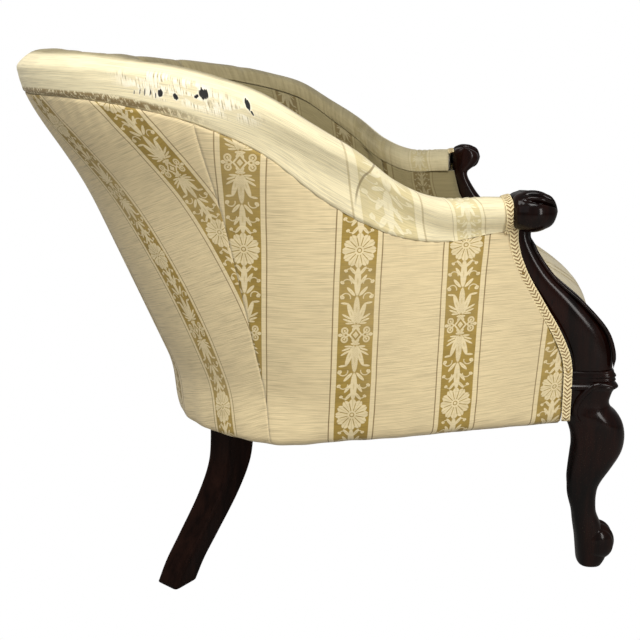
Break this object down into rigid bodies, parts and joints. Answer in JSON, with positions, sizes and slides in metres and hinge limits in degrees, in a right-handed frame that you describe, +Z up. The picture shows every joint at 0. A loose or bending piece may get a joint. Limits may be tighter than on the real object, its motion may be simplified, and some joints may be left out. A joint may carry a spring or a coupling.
{
  "type": "settee",
  "caption": "Small tub-backed settee with a stuffed roll along its sloping arms, a buttoned back, carved scroll arm facings and cabriole front legs",
  "frame": {"origin": "on the floor, under the middle of the settee's overall box", "axes": "+Z up, -Y the front that the sitter faces, +X the sitter's left hand side when seated"},
  "size_m": [1.0562, 0.958, 0.8036],
  "materials": {
    "carved_hardwood": "dark French-polished mahogany, glossy",
    "rear_leg_hardwood": "stained hardwood, rubbed and duller than the front",
    "beech_frame": "plain sawn beech",
    "forged_iron": "black forged iron with a little rust",
    "outside_cover": "woven damask with gold stripes",
    "roll_cover": "the same damask, faded and worn",
    "inside_cover": "the same damask, deep buttoned",
    "seat_cover": "woven damask with gold stripes",
    "button_cover": "covered buttons",
    "braid": "two-tone woven gimp braid",
    "hessian": "open weave jute hessian",
    "jute_webbing": "close woven jute webbing",
    "dust_cloth": "plain black cotton cloth",
    "spring_steel": "coppered spring wire, dulled",
    "cord": "laid hemp cord",
    "wood_screws": "steel wood screws",
    "pin_brass": "small brass pin heads"
  },
  "bodies": {
    "root": {"arm_and_back_roll": "roll_cover", "arm_facing_left": "carved_hardwood", "arm_facing_right": "carved_hardwood", "back_buttons": "button_cover", "back_hessian": "hessian", "corner_block_screws": "wood_screws", "corner_blocks": "beech_frame", "facing_dowels": "beech_frame", "front_leg_left": "carved_hardwood", "front_leg_right": "carved_hardwood", "front_seat_rail": "beech_frame", "gimp_left": "braid", "gimp_pins": "pin_brass", "gimp_right": "braid", "inside_arm_pad_left": "inside_cover", "inside_arm_pad_right": "inside_cover", "inside_back_pad": "inside_cover", "iron_foot_screws": "wood_screws", "iron_hoop": "forged_iron", "iron_rivets": "forged_iron", "iron_top_rail": "forged_iron", "iron_uprights": "forged_iron", "leg_dowels": "beech_frame", "outside_back_panel": "outside_cover", "outside_panel_left": "outside_cover", "outside_panel_right": "outside_cover", "rear_leg_left": "rear_leg_hardwood", "rear_leg_right": "rear_leg_hardwood", "rear_seat_rail": "beech_frame", "seat_front_border": "seat_cover", "seat_hessian": "hessian", "seat_pad": "seat_cover", "seat_springs": "spring_steel", "seat_webbing_across": "jute_webbing", "seat_webbing_lengthwise": "jute_webbing", "side_seat_rail_left": "beech_frame", "side_seat_rail_right": "beech_frame", "spring_lashing": "cord", "underside_cloth": "dust_cloth"}
  },
  "joints": []
}
